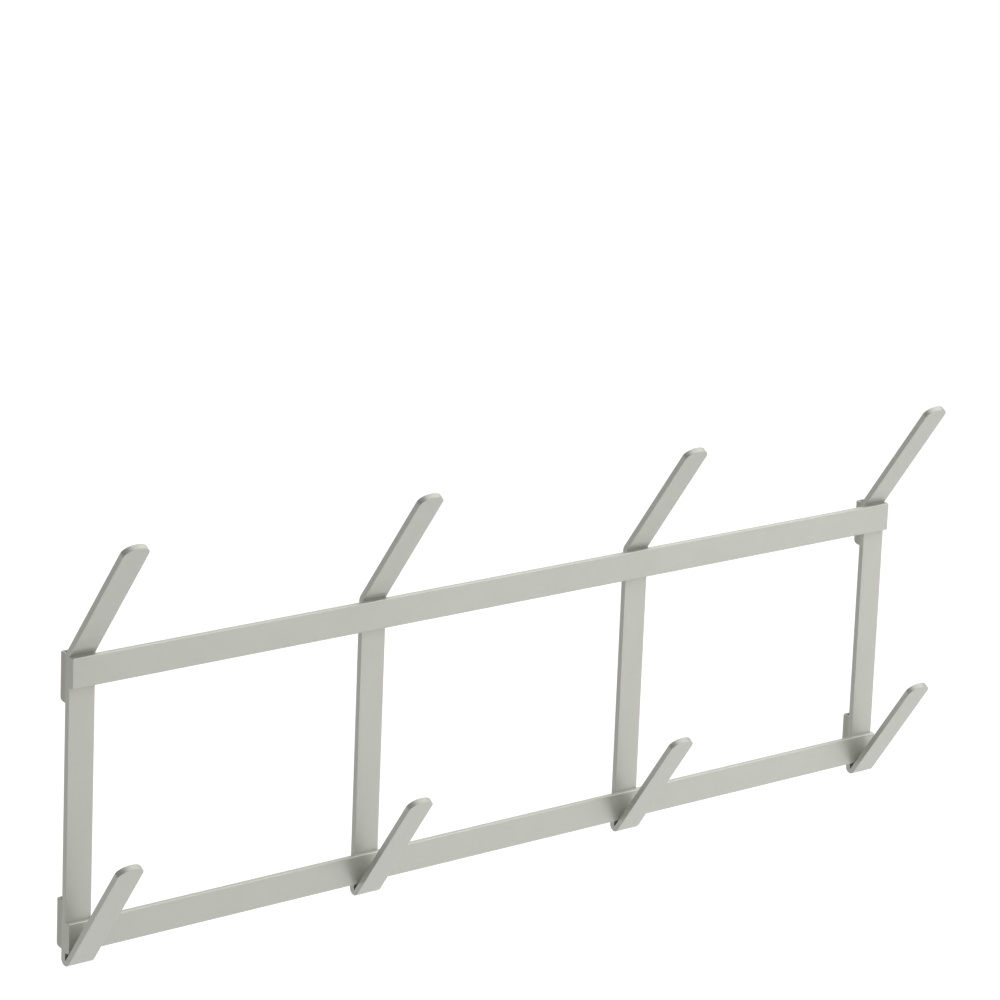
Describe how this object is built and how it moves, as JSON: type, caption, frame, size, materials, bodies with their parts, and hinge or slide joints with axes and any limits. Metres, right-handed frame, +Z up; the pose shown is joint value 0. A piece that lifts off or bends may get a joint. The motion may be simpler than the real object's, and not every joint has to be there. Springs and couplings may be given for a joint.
{
  "type": "wall coat rack",
  "caption": "Wall coat rack of welded satin steel flat bar: bent uprights with a hat hook above and a folded coat hook below, joined by rails and hung on keyhole brackets.",
  "frame": {"origin": "on the wall, midway between the four screws that the rack hangs on", "axes": "+X along the rails, to the right for someone facing the rack; +Y into the wall; +Z up"},
  "size_m": [0.728, 0.0685, 0.2867],
  "materials": {
    "bar": "satin",
    "bracket": "satin",
    "weld": "ground"
  },
  "bodies": {
    "root": {"top_rail": "bar", "bottom_rail": "bar", "upright_1": "bar", "upright_2": "bar", "upright_3": "bar", "upright_4": "bar", "wall_bracket_upper_left": "bracket", "wall_bracket_lower_left": "bracket", "wall_bracket_upper_right": "bracket", "wall_bracket_lower_right": "bracket", "rail_weld_1_top_right": "weld", "rail_weld_1_bottom_right": "weld", "rail_weld_2_top_left": "weld", "rail_weld_2_top_right": "weld", "rail_weld_2_bottom_left": "weld", "rail_weld_2_bottom_right": "weld", "rail_weld_3_top_left": "weld", "rail_weld_3_top_right": "weld", "rail_weld_3_bottom_left": "weld", "rail_weld_3_bottom_right": "weld", "rail_weld_4_top_left": "weld", "rail_weld_4_bottom_left": "weld", "bracket_weld_upper_left_left": "weld", "bracket_weld_upper_left_right": "weld", "bracket_weld_lower_left_left": "weld", "bracket_weld_lower_left_right": "weld", "bracket_weld_upper_right_left": "weld", "bracket_weld_upper_right_right": "weld", "bracket_weld_lower_right_left": "weld", "bracket_weld_lower_right_right": "weld"}
  },
  "joints": []
}
